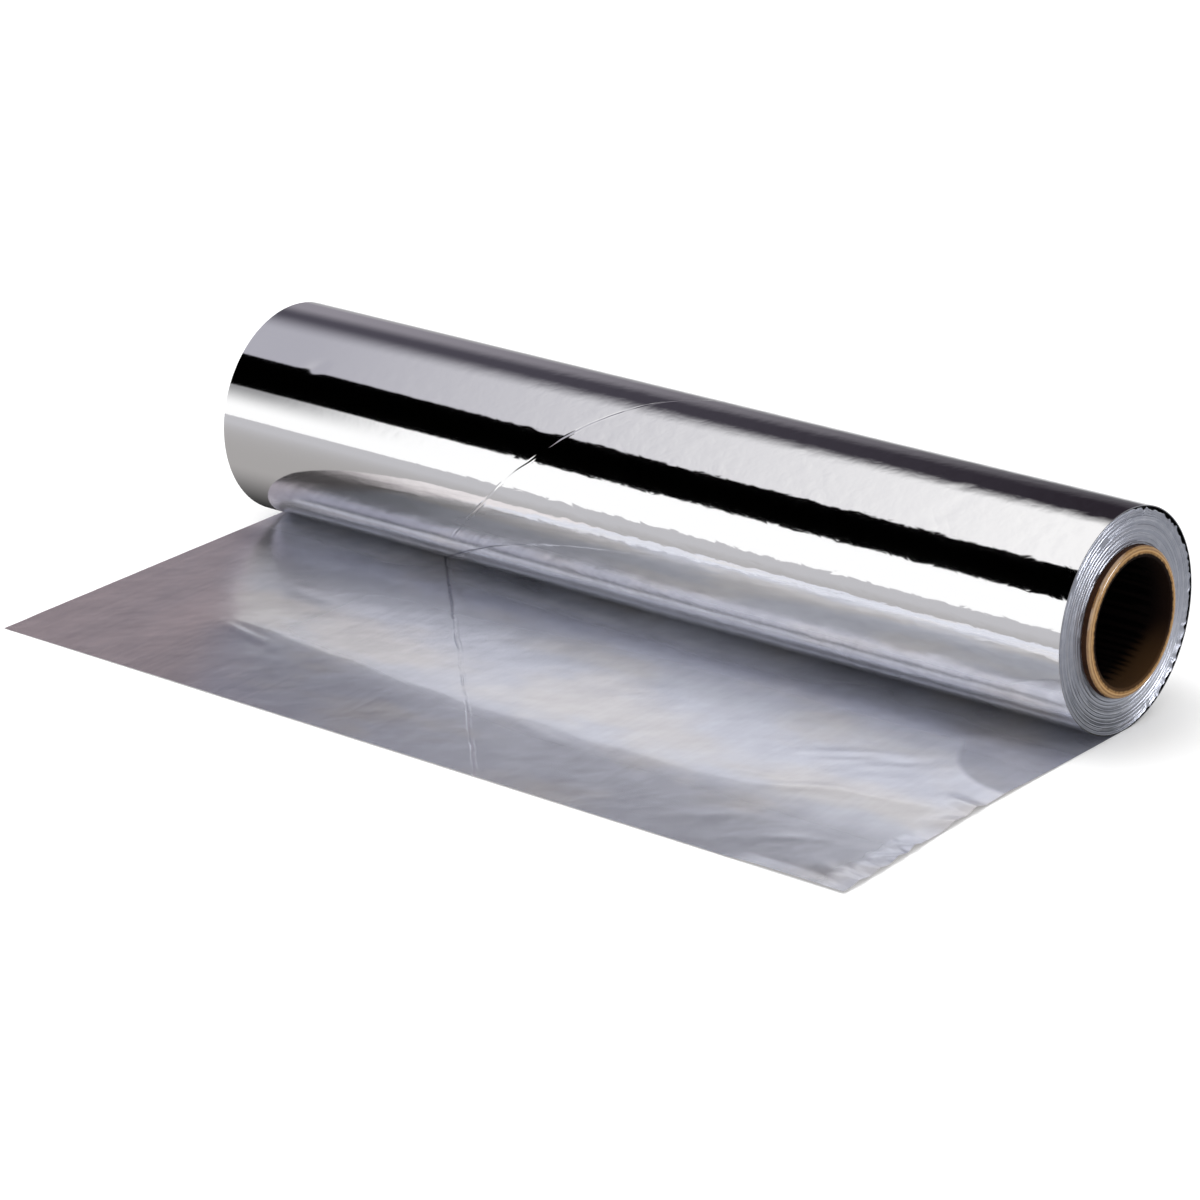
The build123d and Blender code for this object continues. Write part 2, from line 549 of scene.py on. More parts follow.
@dataclass(frozen=True)
class Paperboard:
    """Brown spiral-wound board: waxed outside and rim, a matt bore in painted shade that is lighter at
    its bottom, and a golden cut edge.
    """

    name: str = "core_board"
    face: Colour = (0.045, 0.017, 0.007)
    face_dark: Colour = (0.020, 0.007, 0.003)
    # The bore's colours are painted shade, darkest deep inside, with painted light at its bottom.
    bore: Colour = (0.010, 0.004, 0.002)
    bore_lit_bottom: Colour = (0.055, 0.026, 0.009)
    bore_far_shade: Colour = (0.0035, 0.0012, 0.0008)
    edge: Colour = (0.46, 0.28, 0.120)
    edge_dark: Colour = (0.26, 0.135, 0.050)
    seam_pitch: float = 104.0 * MM
    ply_pitch: float = 0.80 * MM

    def material(self, half_length: float, bore_radius: float, wall: float) -> Material:
        """Makes the material.

        Args:
            half_length: Half the tube's length, which tells its cut ends.
            bore_radius: The radius of its bore.
            wall: The thickness of its wall.

        Returns:
            The material.
        """
        dress = Dressing(self.name)
        x, y, z = dress.place()
        out = (y * y + z * z).power(0.5)
        angle = z.turned_from(y)
        turn = x / self.seam_pitch + angle / FULL_TURN
        seam = ((turn - turn.math("ROUND")) * self.seam_pitch).line(0.55 * MM)
        fibres = dress.noise((500, 800, 800), 3)
        mottle = dress.noise((70, 120, 120), 3, 5)
        face = dress.blend((fibres * 0.3 + mottle).rise(-0.4, 0.4), self.face_dark, self.face)
        seamed = dress.blend(seam * 0.8, face, (0.02, 0.008, 0.004))
        plies = ((out - bore_radius) * (FULL_TURN / self.ply_pitch)).wave()
        cut = dress.blend((plies * 0.45 + fibres * 0.8).rise(-0.55, 0.45), self.edge_dark, self.edge)
        at_end = x.size().rise(half_length - 1.05 * MM, half_length - 0.75 * MM)
        ply = out + fibres * (0.22 * wall)
        at_cut = at_end * ply.rise(bore_radius + 0.22 * wall, bore_radius + 0.48 * wall)
        glossy = at_end * out.rise(bore_radius + 0.55 * wall, bore_radius + 0.75 * wall)
        waxed = out.rise(bore_radius + 0.2 * wall, bore_radius + 0.7 * wall)
        height = fibres * waxed * 0.015 - seam * waxed * 0.08 + plies * at_end * 0.02
        # Painted light and shade in the bore: lighter towards the bottom, darker deeper in.
        low = z.rise(-3.0 * MM, -17.0 * MM)
        deep = (x.size() + low * (5.0 * MM)).rise(half_length, half_length - 7.0 * MM)
        bore = dress.blend(deep, dress.blend(low, self.bore, self.bore_lit_bottom), self.bore_far_shade)
        walls = dress.blend(waxed, bore, seamed)
        return dress.finish(
            Base_Color=dress.blend(at_cut, walls, cut),
            Metallic=0.0,
            Roughness=waxed * -0.35 + (mottle * 0.1 + 0.92),
            Specular_IOR_Level=0.1,
            Coat_Weight=glossy * (mottle * 1.2 + 0.9),
            Coat_Roughness=0.11,
            Coat_IOR=2.2,
            Normal=dress.relief(height),
        )


def only(piece: Piece) -> None:
    """Makes a piece the only selected one, and the active one."""
    bpy.ops.object.select_all(action="DESELECT")
    piece.select_set(True)
    bpy.context.view_layer.objects.active = piece


def settle(name: str) -> Piece:
    """Names the primitive just added and moves its place into its mesh.

    Args:
        name: The piece's name.

    Returns:
        The piece, at the origin and unturned.
    """
    piece = bpy.context.active_object
    piece.name = name
    piece.data.name = name
    only(piece)
    bpy.ops.object.transform_apply(location=True, rotation=True, scale=True)
    return piece


def pick(piece: Piece, kind: str, test: Callable[..., bool]) -> None:
    """Selects parts of a piece in edit mode by their place.

    Args:
        piece: The piece, in edit mode.
        kind: VERT, EDGE or FACE.
        test: Says whether a part is to be selected.
    """
    bpy.ops.mesh.select_mode(type=kind)
    bpy.ops.mesh.select_all(action="DESELECT")
    shape = bmesh.from_edit_mesh(piece.data)
    for part in {"VERT": shape.verts, "EDGE": shape.edges, "FACE": shape.faces}[kind]:
        if test(part):
            part.select_set(True)
    shape.select_flush_mode()
    bmesh.update_edit_mesh(piece.data)


def points_of(piece: Piece) -> Array:
    """The piece's vertices as rows of X, Y and Z."""
    flat = np.empty(len(piece.data.vertices) * 3)
    piece.data.vertices.foreach_get("co", flat)
    return flat.reshape(-1, 3)


def move_points(piece: Piece, points: Array) -> None:
    """Puts the piece's vertices at new places."""
    piece.data.vertices.foreach_set("co", points.ravel())
    piece.data.update()


def apply_all(piece: Piece) -> None:
    """Applies the piece's modifiers in order."""
    only(piece)
    for modifier in list(piece.modifiers):
        bpy.ops.object.modifier_apply(modifier=modifier.name)


def smooth(piece: Piece, degrees: float) -> None:
    """Shades a piece smooth but for the edges that turn by more than an angle."""
    only(piece)
    bpy.ops.object.shade_smooth_by_angle(angle=math.radians(degrees))


def ramp(value: Array) -> Array:
    """A straight step from 0 to 1 as the value goes from 0 to 1."""
    return np.clip(value, 0.0, 1.0)


def rise(value: Array) -> Array:
    """A smooth step from 0 to 1 as the value goes from 0 to 1."""
    share = np.clip(value, 0.0, 1.0)
    return share * share * (3 - 2 * share)


def hills(along: Array, across: Array, size: float, seed: int) -> Array:
    """Soft random hills about 0, the same on each run.

    Args:
        along: Places along the sheet, in metres.
        across: Places across it.
        size: The hills' size in metres.
        seed: Picks one set of hills.

    Returns:
        Heights that are mostly from -1 to 1.
    """
    random = np.random.default_rng(seed)
    total = np.zeros_like(along)
    waves = 14
    for _ in range(waves):
        way = random.uniform(0.0, math.pi)
        pace = FULL_TURN / size * random.uniform(0.6, 1.5)
        start = random.uniform(0.0, FULL_TURN)
        total += np.sin(pace * (along * math.cos(way) + across * math.sin(way)) + start)
    return total / math.sqrt(waves)


@dataclass
class FoilSizes:
    """The roll's main sizes in metres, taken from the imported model."""

    half_width: float
    radius: float
    inner_radius: float
    table: float
    front_left: float
    front_right: float
    sheet: float = 0.04 * MM

    @classmethod
    def read(cls) -> "FoilSizes":
        """Reads the sizes from the foil and the core tube."""
        low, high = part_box("foil")
        core_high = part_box("core_tube")[1]
        inner = core_high.z + WINDING_CLEARANCE
        return cls(high.x, high.z, inner, low.z, -low.y - CUT_SKEW, -low.y)


@dataclass(frozen=True)
class Dent:
    """A small dent in the roll that slants like the crease. Lengths are in millimetres."""

    along: float
    degrees: float
    width: float
    length: float
    depth: float

    def lift(self, x: Array, arc: Array, radius: float) -> Array:
        """The dent's height in metres, below 0, at places along and around a roll."""
        right, up = x - self.along * MM, arc - math.radians(self.degrees) * radius
        beside = (right - up) / (math.sqrt(2) * self.width * MM)
        ahead = (right + up) / (math.sqrt(2) * self.length * MM)
        return -self.depth * MM * np.exp(-0.5 * (beside**2 + ahead**2))


@dataclass
class WoundTurns:
    """The wound part of the roll: its bright outside, two faces of cut turns and inner wall."""

    sizes: FoilSizes
    crease: Crease
    around: int = 320
    lengthwise_cuts: tuple[int, int] = (11, 15)
    ring_count: int = 41
    step_depth: float = 0.09 * MM
    step_pitch: float = 0.9 * MM
    groove_depth: float = 0.10 * MM
    lip: float = 0.28 * MM
    gap_depth: float = 2.2 * MM
    gap_width: float = 1.3 * MM
    gap_middle: float = math.radians(4.0)
    dents: tuple[Dent, ...] = (
        Dent(-122, 46.5, 1.3, 2.6, 0.10),
        *(Dent(103.0 + 2.0 * (step % 2), 74.0 - 10.0 * step, 1.2, 3.4, 0.05) for step in range(5)),
    )

    def build(self) -> Piece:
        """Makes the piece.

        Returns:
            The finished piece, dressed and riding on the body.
        """
        piece = self.shell()
        self.dress(piece)
        self.shape_outside(piece)
        self.shape_ends(piece)
        smooth(piece, 40.0)
        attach(piece, BODY)
        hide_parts("foil")
        return piece

    def ring_radii(self) -> list[float]:
        """Radii of the rings on a face, from the rim in: the lip, the gap under it and the turns."""
        rim = self.sizes.radius
        lip = rim - self.lip
        turns = np.linspace(lip - 0.04 * MM, self.sizes.inner_radius, self.ring_count)
        return [rim - 0.07 * MM, lip, lip - 0.01 * MM, lip - 0.03 * MM, *turns]

    def shell(self) -> Piece:
        """Turns a cylinder into a closed tube with ringed ends and an evenly divided outside."""
        sizes = self.sizes
        bpy.ops.mesh.primitive_cylinder_add(
            vertices=self.around,
            radius=sizes.radius,
            depth=2 * sizes.half_width,
            end_fill_type="NOTHING",
            rotation=(0.0, math.pi / 2, 0.0),
        )
        piece = settle("wound_turns")
        bpy.ops.object.mode_set(mode="EDIT")
        for end in RollEnd:
            face = end.value * sizes.half_width
            pick(piece, "EDGE", lambda e: all(abs(v.co.x - face) < CLOSE for v in e.verts))
            last = sizes.radius
            for radius in self.ring_radii():
                share = radius / last
                bpy.ops.mesh.extrude_region_move()
                bpy.ops.transform.resize(value=(1.0, share, share), center_override=(0.0, 0.0, 0.0))
                last = radius
        inner = sizes.inner_radius
        pick(piece, "EDGE", lambda e: all(math.hypot(v.co.y, v.co.z) < inner + CLOSE for v in e.verts))
        bpy.ops.mesh.bridge_edge_loops()
        for cuts in self.lengthwise_cuts:
            pick(piece, "EDGE", self.lengthwise)
            bpy.ops.mesh.subdivide(number_cuts=cuts)
        bpy.ops.mesh.select_all(action="SELECT")
        bpy.ops.mesh.normals_make_consistent(inside=False)
        bpy.ops.object.mode_set(mode="OBJECT")
        return piece

    def lengthwise(self, edge: bmesh.types.BMEdge) -> bool:
        """Whether an edge of the outside runs along the roll."""
        first, last = (v.co for v in edge.verts)
        rim = self.sizes.radius - CLOSE
        outside = all(math.hypot(point.y, point.z) > rim for point in (first, last))
        return abs(first.x - last.x) > CLOSE and outside

    def dress(self, piece: Piece) -> None:
        """Gives the plain shell its finishes: bright outside, turn edges, and painted shade in the gap
        under the lip.
        """
        sizes = self.sizes
        materials = {
            Slot.BRIGHT: BrightFoil().material(sizes.radius, self.crease),
            Slot.EDGES: TurnEdges().material(),
            Slot.GAP: TurnGap().material(),
        }
        for slot in Slot:
            piece.data.materials.append(materials[slot])
        lip = sizes.radius - self.lip
        for face in piece.data.polygons:
            out = math.hypot(face.center.y, face.center.z)
            if out > lip:
                slot = Slot.BRIGHT
            elif out > lip - 0.035 * MM:
                slot = Slot.GAP
            else:
                slot = Slot.EDGES
            face.material_index = slot.value

    def shape_outside(self, piece: Piece) -> None:
        """Gives the outside its slow swells, its crease, its dents and the flat that it lies on."""
        sizes = self.sizes
        points = points_of(piece)
        out = np.hypot(points[:, 1], points[:, 2])
        outside = out > sizes.radius - CLOSE
        x = points[:, 0]
        angle = np.arctan2(points[:, 2], -points[:, 1])
        arc = angle * sizes.radius
        lively = 0.25 + 0.75 * rise((x + 0.06) / 0.1)
        height = -0.010 * MM * (1 + hills(x, arc * 0.3, 0.09, 3))
        height -= 0.003 * MM * lively * (1 + hills(x, arc, 0.022, 5))
        height += self.crease.height(x, arc) * 0.2
        height += sum(dent.lift(x, arc, sizes.radius) for dent in self.dents)
        inward = np.where(outside, np.minimum(height, 0.0), 0.0)
        points[:, 1:] *= (1 + inward / out)[:, None]
        points[:, 2] = np.maximum(points[:, 2], sizes.table + sizes.sheet)
        move_points(piece, points)

    def shape_ends(self, piece: Piece) -> None:
        """Sets the turns of both faces at uneven depths, and opens the gap under the outer one."""
        sizes = self.sizes
        points = points_of(piece)
        out = np.hypot(points[:, 1], points[:, 2])
        angle = np.arctan2(points[:, 2], points[:, 1])
        lip = sizes.radius - self.lip
        first = lip - 0.04 * MM
        spacing = (first - sizes.inner_radius) / (self.ring_count - 1)
        ring = np.rint((first - out) / spacing)
        for end in RollEnd:
            at_end = np.abs(points[:, 0] - end.value * sizes.half_width) < CLOSE
            on_face = at_end & (out < sizes.radius - CLOSE)
            turn = (out - sizes.inner_radius) / self.step_pitch + end.value * angle / FULL_TURN
            step = 0.5 + 0.5 * np.sin(FULL_TURN * turn)
            drift = 0.5 + 0.2 * hills(angle * 0.03, out, 0.020, 11 + end.value)
            groove = (ring % 2) * (0.85 + 0.12 * hills(angle * 0.03, ring * MM, 0.012, 31))
            depth = self.step_depth * np.clip(0.5 * step + 0.5 * drift, 0.0, 1.0)
            depth += self.groove_depth * groove
            depth *= rise((lip - out) / (0.3 * MM))
            opening = 0.0
            if end is RollEnd.RIGHT:
                opening = rise((np.cos(angle - self.gap_middle) + 0.25) / 0.9)
            ragged = 0.65 + 0.35 * hills(angle * 0.03, angle * 0.0, 0.0028, 17)
            width = self.gap_width * opening * np.clip(ragged, 0.1, 1.3)
            floor = on_face & (out < lip - 0.005 * MM) & (out > lip - 0.035 * MM)
            depth = np.where(floor, self.gap_depth * np.minimum(1.0, 3 * opening), depth)
            inner_side = on_face & (out < lip - 0.02 * MM)
            squeezed = out - width * rise((out - lip + 4.0 * MM) / (4.0 * MM))
            share = np.where(inner_side, squeezed / np.maximum(out, CLOSE), 1.0)
            points[:, 0] -= np.where(on_face, end.value * depth, 0.0)
            points[:, 1:] *= share[:, None]
        points[:, 2] = np.maximum(points[:, 2], sizes.table + sizes.sheet)
        move_points(piece, points)


@dataclass(frozen=True)
class Crimp:
    """A small sharp fold in the right edge of the loose end. Lengths are in millimetres."""

    out: float
    reach: float
    half_width: float
    height: float
    slant: float

    def lift(self, from_edge: Array, out: Array) -> Array:
        """The fold's height.

        Args:
            from_edge: Distances from the sheet's right edge.
            out: Distances from below the roll's axis.

        Returns:
            Heights in metres, 0 away from the fold.
        """
        beside = np.abs(out - self.out * MM - self.slant * from_edge) / (self.half_width * MM)
        return self.height * MM * ramp(1 - from_edge / (self.reach * MM)) * ramp(1 - beside)


@dataclass(frozen=True)
class Wrinkle:
    """A short soft ridge in the loose end, or a groove if its height is below 0.

    Lengths are in millimetres and the turn is in degrees.
    """

    along: float
    out: float
    reach: float
    half_width: float
    height: float
    turn: float

    def lift(self, along: Array, out: Array) -> Array:
        """The ridge's height in metres at places along the roll and out from it."""
        cosine, sine = math.cos(math.radians(self.turn)), math.sin(math.radians(self.turn))
        right, away = along - self.along * MM, out - self.out * MM
        ahead = (right * cosine + away * sine) / (self.reach * MM)
        beside = (away * cosine - right * sine) / (self.half_width * MM)
        return self.height * MM * np.exp(-0.5 * (ahead**2 + beside**2))


@dataclass
class LooseEnd:
    """The loose end of the foil: one thin sheet that lies on the table, satin side up."""

    sizes: FoilSizes
    crease: Crease
    columns: int = 320
    rows: int = 150
    tucked: float = 2.5 * MM
    nip_length: float = 14.0 * MM
    settle_length: float = 22.0 * MM
    fold_height: float = 1.3 * MM
    fold_out: float = 89.0 * MM
    fold_slope: float = 0.065
    fold_fall: float = 20.0 * MM
    fold_softness: float = 0.05 * MM
    fold_bend: float = 19.0 * MM
    fold_skew: float = 9.5 * MM
    hollow_height: float = 0.30 * MM
    hollow_out: float = 55.0 * MM
    patch_height: float = 0.55 * MM
    patch_at: tuple[float, float] = (151.0 * MM, 28.0 * MM)
    patch_reach: tuple[float, float] = (30.0 * MM, 28.0 * MM)
    side_lift: float = 0.6 * MM
    front_lift: float = 0.55 * MM
    mean_wave: float = 0.08 * MM
    waves: tuple[tuple[float, float, int], ...] = (
        (0.035 * MM, 0.060, 41),
        (0.022 * MM, 0.016, 42),
        (0.008 * MM, 0.007, 43),
    )
    crimps: tuple[Crimp, ...] = tuple(
        Crimp(*row)
        for row in (
            (69, 14, 4, 1.1, -0.25),
            (79, 9, 4.6, 0.7, 0.4),
            (98.5, 9, 3, 1, 0),
            (106, 8, 3.6, 0.8, 0.3),
            (115, 7, 3.4, 0.7, 0),
            (124, 18, 4, 0.7, -0.3),
        )
    )
    wrinkles: tuple[Wrinkle, ...] = tuple(
        Wrinkle(*row)
        for row in (
            (-92, 87, 8, 1.2, -0.16, 13),
            (-90, 89.8, 9, 1.3, 0.12, 13),
            (-80, 96, 4.5, 1.8, -0.16, 32),
            (-76, 98.5, 4, 1.6, 0.10, 32),
            (-96, 56, 7, 2.2, -0.14, 10),
            (-118, 68, 7, 2.6, 0.12, 20),
            (12, 40, 3, 1.8, 0.12, -20),
            (96, 60, 6.5, 1.5, 0.13, -32),
            (103, 62, 6, 1.4, 0.12, -35),
            (107, 53, 7, 1.6, 0.14, -28),
            (115, 55, 5, 1.5, -0.12, -28),
            (112, 61, 5, 1.5, 0.10, -40),
            (90, 84, 7, 1.7, 0.14, -14),
            (99, 88, 7, 1.5, 0.13, -20),
            (108, 82, 6, 1.5, 0.15, -25),
            (116, 88, 6, 1.5, 0.12, -18),
            (20, 96, 5, 1.6, 0.14, 16),
            (33, 99, 5, 1.7, 0.11, 10),
            (12, 116, 9, 1.5, 0.10, 55),
            (96, 112, 8, 2, 0.10, -40),
            (120, 112, 7, 1.8, 0.12, -30),
        )
    )

    def build(self) -> Piece:
        """Makes the piece.

        Returns:
            The finished piece, dressed and riding on the body.
        """
        sizes = self.sizes
        bpy.ops.mesh.primitive_grid_add(x_subdivisions=self.columns, y_subdivisions=self.rows, size=1.0)
        piece = settle("loose_end")
        points = points_of(piece)
        along = self.spread(points[:, 0] + 0.5)
        share = 0.5 - points[:, 1]
        out = share * (self.front(along) + self.tucked) - self.tucked
        height = self.height(along, out)
        fanned = along + 3.0 * MM * rise((out - 0.06) / 0.07) * rise((along - 0.11) / 0.04)
        move_points(piece, np.column_stack((fanned, -out, sizes.table + height)))
        solidify = piece.modifiers.new("sheet", "SOLIDIFY")
        solidify.thickness = sizes.sheet
        solidify.offset = 1.0
        apply_all(piece)
        self.dress(piece)
        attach(piece, BODY)
        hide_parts("foil")
        return piece

    def spread(self, share: Array) -> Array:
        """Places along the roll for the grid's columns, closer together near the right edge."""
        half = self.sizes.half_width
        gathered = (share + 0.6 * (1 - (1 - share) ** 2)) / 1.6
        return -half + 2 * half * gathered

    def front(self, along: Array) -> Array:
        """How far out the cut front edge lies, a little askew."""
        sizes = self.sizes
        share = (along + sizes.half_width) / (2 * sizes.half_width)
        return sizes.front_left + (sizes.front_right - sizes.front_left) * share

    def fold(self, along: Array, out: Array) -> Array:
        """A low fold along the roll: it climbs gently from the roll and falls steeply in front."""
        crest = self.fold_out - self.fold_bend * rise((along - 75.0 * MM) / (70.0 * MM))
        crest += self.fold_skew * (rise((along + 115.0 * MM) / (120.0 * MM)) - 0.5)
        crest += 0.9 * MM * hills(along, along * 0.0, 0.030, 51)
        last = np.maximum((out - self.hollow_out) / (crest - self.hollow_out), 0.0) ** 1.6
        climb = self.hollow_height + (self.fold_height - self.hollow_height) * last
        drop = self.fold_slope * self.fold_fall * (1 - np.exp(-(out - crest) / self.fold_fall))
        soft = self.fold_softness
        lower = -soft * np.logaddexp(-climb / soft, -(self.fold_height - drop) / soft)
        left = rise((along + 125.0 * MM) / (30.0 * MM))
        right = rise((along - 105.0 * MM) / (45.0 * MM))
        return left * (1 - 0.5 * right) * lower

    def patch(self, along: Array, out: Array) -> Array:
        """A shallow pushed-in patch beside the roll, with a rounded ridge at its far side."""
        across = (along - self.patch_at[0]) / self.patch_reach[0]
        reach = np.hypot(across, (out - self.patch_at[1]) / self.patch_reach[1])
        return self.patch_height * np.minimum(reach**2, np.exp(-(reach - 1.0) / 0.3))

    def edges(self, along: Array, out: Array) -> Array:
        """The lifted strips along the right edge and the front corner, and the crimps in them."""
        from_edge = self.sizes.half_width - along
        from_front = self.front(along) - out
        side = ramp(1 - from_edge / (7.5 * MM)) * rise((out - 86.0 * MM) / (10.0 * MM))
        front = ramp(1 - from_front / (5.5 * MM)) * rise((along - 112.0 * MM) / (14.0 * MM))
        folds = sum(crimp.lift(from_edge, out) for crimp in self.crimps)
        return np.maximum(self.side_lift * side, self.front_lift * front) + folds

    def height(self, along: Array, out: Array) -> Array:
        """The sheet's height over the table.

        Args:
            along: Places along the roll.
            out: Distances from below the roll's axis.

        Returns:
            Heights in metres, none below 0.
        """
        settled = rise((out - self.nip_length) / self.settle_length)
        waves = np.full_like(along, self.mean_wave)
        for high, size, seed in self.waves:
            waves += high * hills(along, out, size, seed)
        waves += sum(wrinkle.lift(along, out) for wrinkle in self.wrinkles)
        height = settled * (self.fold(along, out) + waves + self.patch(along, out))
        height += self.edges(along, out) + 0.1 * self.crease.height(along, -out)
        return np.maximum(height, 0.0)

    def dress(self, piece: Piece) -> None:
        """Gives the upper side its satin finish and the lower side its bright one."""
        piece.data.materials.append(SatinFoil().material(self.crease))
        underside = BrightFoil(name="bright_underside")
        piece.data.materials.append(underside.material(self.sizes.radius, self.crease))
        for face in piece.data.polygons:
            face.material_index = 1 if face.normal.z < -0.5 else 0
        smooth(piece, 60.0)


@dataclass
class CoreBoard:
    """The spiral-wound paperboard tube inside the roll."""

    half_length: float
    radius: float
    bore_radius: float
    around: int = 160
    outer_edge: float = 1.3 * MM
    inner_edge: float = 0.35 * MM

    def build(self) -> Piece:
        """Makes the piece.

        Returns:
            The finished piece, dressed and riding on the body.
        """
        wall = self.radius - self.bore_radius
        middle = self.bore_radius + wall / 2
        bpy.ops.mesh.primitive_plane_add(
            size=1.0, location=(0.0, 0.0, middle), rotation=(math.pi / 2, 0.0, 0.0)
        )
        bpy.context.active_object.scale = (2 * self.half_length, wall, 1.0)
        piece = settle("core_board_tube")
        bpy.ops.object.mode_set(mode="EDIT")
        for edge, outer in ((self.outer_edge, True), (self.inner_edge, False)):
            pick(piece, "VERT", lambda v: (v.co.z > middle) == outer)
            bpy.ops.mesh.bevel(offset=edge, segments=4, affect="VERTICES")
        pick(piece, "EDGE", lambda e: abs(e.verts[0].co.x - e.verts[1].co.x) > self.half_length)
        bpy.ops.mesh.subdivide(number_cuts=60)
        bpy.ops.mesh.select_all(action="SELECT")
        bpy.ops.mesh.delete(type="ONLY_FACE")
        bpy.ops.mesh.select_all(action="SELECT")
        bpy.ops.mesh.spin(
            steps=self.around, angle=FULL_TURN, center=(0.0, 0.0, 0.0), axis=(1.0, 0.0, 0.0)
        )
        bpy.ops.mesh.select_all(action="SELECT")
        bpy.ops.mesh.remove_doubles(threshold=CLOSE)
        bpy.ops.mesh.normals_make_consistent(inside=False)
        bpy.ops.object.mode_set(mode="OBJECT")
        self.dress(piece)
        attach(piece, BODY)
        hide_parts("core_tube")
        return piece

    def dress(self, piece: Piece) -> None:
        """Gives the tube its paperboard."""
        wall = self.radius - self.bore_radius
        board = Paperboard().material(self.half_length, self.bore_radius, wall)
        piece.data.materials.append(board)
        smooth(piece, 50.0)


@dataclass
class Viewpoint:
    """The camera of the photograph, in metres and radians."""

    azimuth: float = math.radians(39.58)
    elevation: float = math.radians(21.23)
    roll: float = math.radians(-1.27)
    distance: float = 1.5077
    target: Vector = field(default_factory=lambda: Vector((-1.5, -37.9, -16.8)) * MM)
    focal_mm: float = 161.02
    sensor_mm: float = 36.0

    def axes(self) -> tuple[Vector, Vector, Vector]:
        """The camera's right, up and back."""
        level = Vector((math.cos(self.azimuth), math.sin(self.azimuth), 0.0))
        towards = Vector((level.y, -level.x, 0.0))
        back = towards * math.cos(self.elevation) + Vector((0.0, 0.0, math.sin(self.elevation)))
        above = back.cross(level)
        turn, lean = math.cos(self.roll), math.sin(self.roll)
        return level * turn + above * lean, above * turn - level * lean, back

    def eye(self) -> Vector:
        """The camera's place."""
        return self.target + self.axes()[2] * self.distance

    def make_camera(self) -> None:
        """Adds the camera."""
        data = bpy.data.cameras.new("camera")
        data.lens = self.focal_mm
        data.sensor_width = self.sensor_mm
        camera = bpy.data.objects.new("camera", data)
        bpy.context.scene.collection.objects.link(camera)
        turned = Matrix(self.axes()).transposed().to_4x4()
        camera.matrix_world = Matrix.Translation(self.eye()) @ turned
        bpy.context.scene.camera = camera

    def bounce(self, radius: float, degrees: float) -> tuple[Vector, Vector]:
        """Where the view goes after it meets the roll.

        Args:
            radius: The roll's radius.
            degrees: The angle of the roll's surface above its front.

        Returns:
            The point on the roll and the direction of the mirrored ray, both as Y and Z.
        """
        angle = math.radians(degrees)
        outward = Vector((-math.cos(angle), math.sin(angle)))
        point = outward * radius
        view = (self.eye().yz - point).normalized()
        return point, 2 * view.dot(outward) * outward - view


@dataclass
class Canopy:
    """An arched studio canopy that only reflections see.

    It follows an arc around the roll. Its bands are named by the height angle of the arc over the
    front horizon, in degrees, and its left and right by X where the camera sees the roll's ends.
    """

    sizes: FoilSizes
    view: Viewpoint
    distance: float = 0.9
    seen_from: float = 11.7
    seen_to: float = 104.5
    steps: int = 70
    width: float = 3.7
    middle: float = -0.85
    left: float = -0.887
    right: float = -0.405

    def build(self) -> None:
        """Adds the canopy."""
        bpy.ops.mesh.primitive_grid_add(x_subdivisions=2, y_subdivisions=self.steps, size=1.0)
        panel = settle("canopy")
        points = points_of(panel)
        for index, (x, y, _) in enumerate(points):
            degrees = self.seen_from + (self.seen_to - self.seen_from) * (y + 0.5)
            start, way = self.view.bounce(self.sizes.radius, degrees)
            place = start + way * self.distance
            points[index] = (self.middle + self.width * x, place.x, place.y)
        move_points(panel, points)
        only_in_reflections(panel, self.material())

    def material(self) -> Material:
        """Makes the canopy's glow: white below, a black flag, a soft panel, and a dark grey back."""
        dress = Dressing("canopy")
        x, y, z = dress.place()
        height = z.turned_from(y * -1.0) * math.degrees(1.0)
        over = height + height.math("LESS_THAN", -90.0) * 360.0
        across = (x - self.left) / (self.right - self.left)
        share = across.math("MAXIMUM", -0.6).math("MINIMUM", 1.3)
        shade = across.rise(0.22, -0.05) * over.rise(8.0, 31.0)
        white = dress.blend(shade * 0.8, (1.10, 1.10, 1.10), (0.12, 0.12, 0.13))
        pink = across.rise(-0.05, -0.4)
        panel = dress.blend(share, (0.455, 0.448, 0.505), (1.01, 1.00, 1.00))
        shadow = dress.blend(share, (0.084, 0.078, 0.100), (0.026, 0.021, 0.028))
        near_wall = dress.blend(share, (0.300, 0.282, 0.320), (0.095, 0.088, 0.100))
        wall = dress.blend(pink, near_wall, (0.345, 0.295, 0.315))
        far = dress.blend(share, (0.50, 0.49, 0.51), (0.22, 0.22, 0.23))
        colour = dress.blend((over + share * 1.4).rise(30.4, 31.8), white, (0.0, 0.0, 0.0))
        colour = dress.blend((over + share * 4.9).rise(65.3, 66.7), colour, panel)
        fade = ((over - share * 9.0 - 105.0) / (29.0 - share * 12.0)).rise(0.0, 1.0)
        colour = dress.blend(fade, colour, shadow)
        colour = dress.blend((over - share * 16.0).rise(136.0, 157.0), colour, wall)
        colour = dress.blend(over.rise(172.0, 186.0), colour, far)
        return dress.glow(colour)


def only_in_reflections(panel: Piece, glow: Material) -> None:
    """Gives a panel its glow and hides it from all rays but those of reflections."""
    panel.data.materials.append(glow)
    panel.visible_camera = False
    panel.visible_diffuse = False
    panel.visible_transmission = False
    panel.visible_volume_scatter = False
    panel.visible_shadow = False


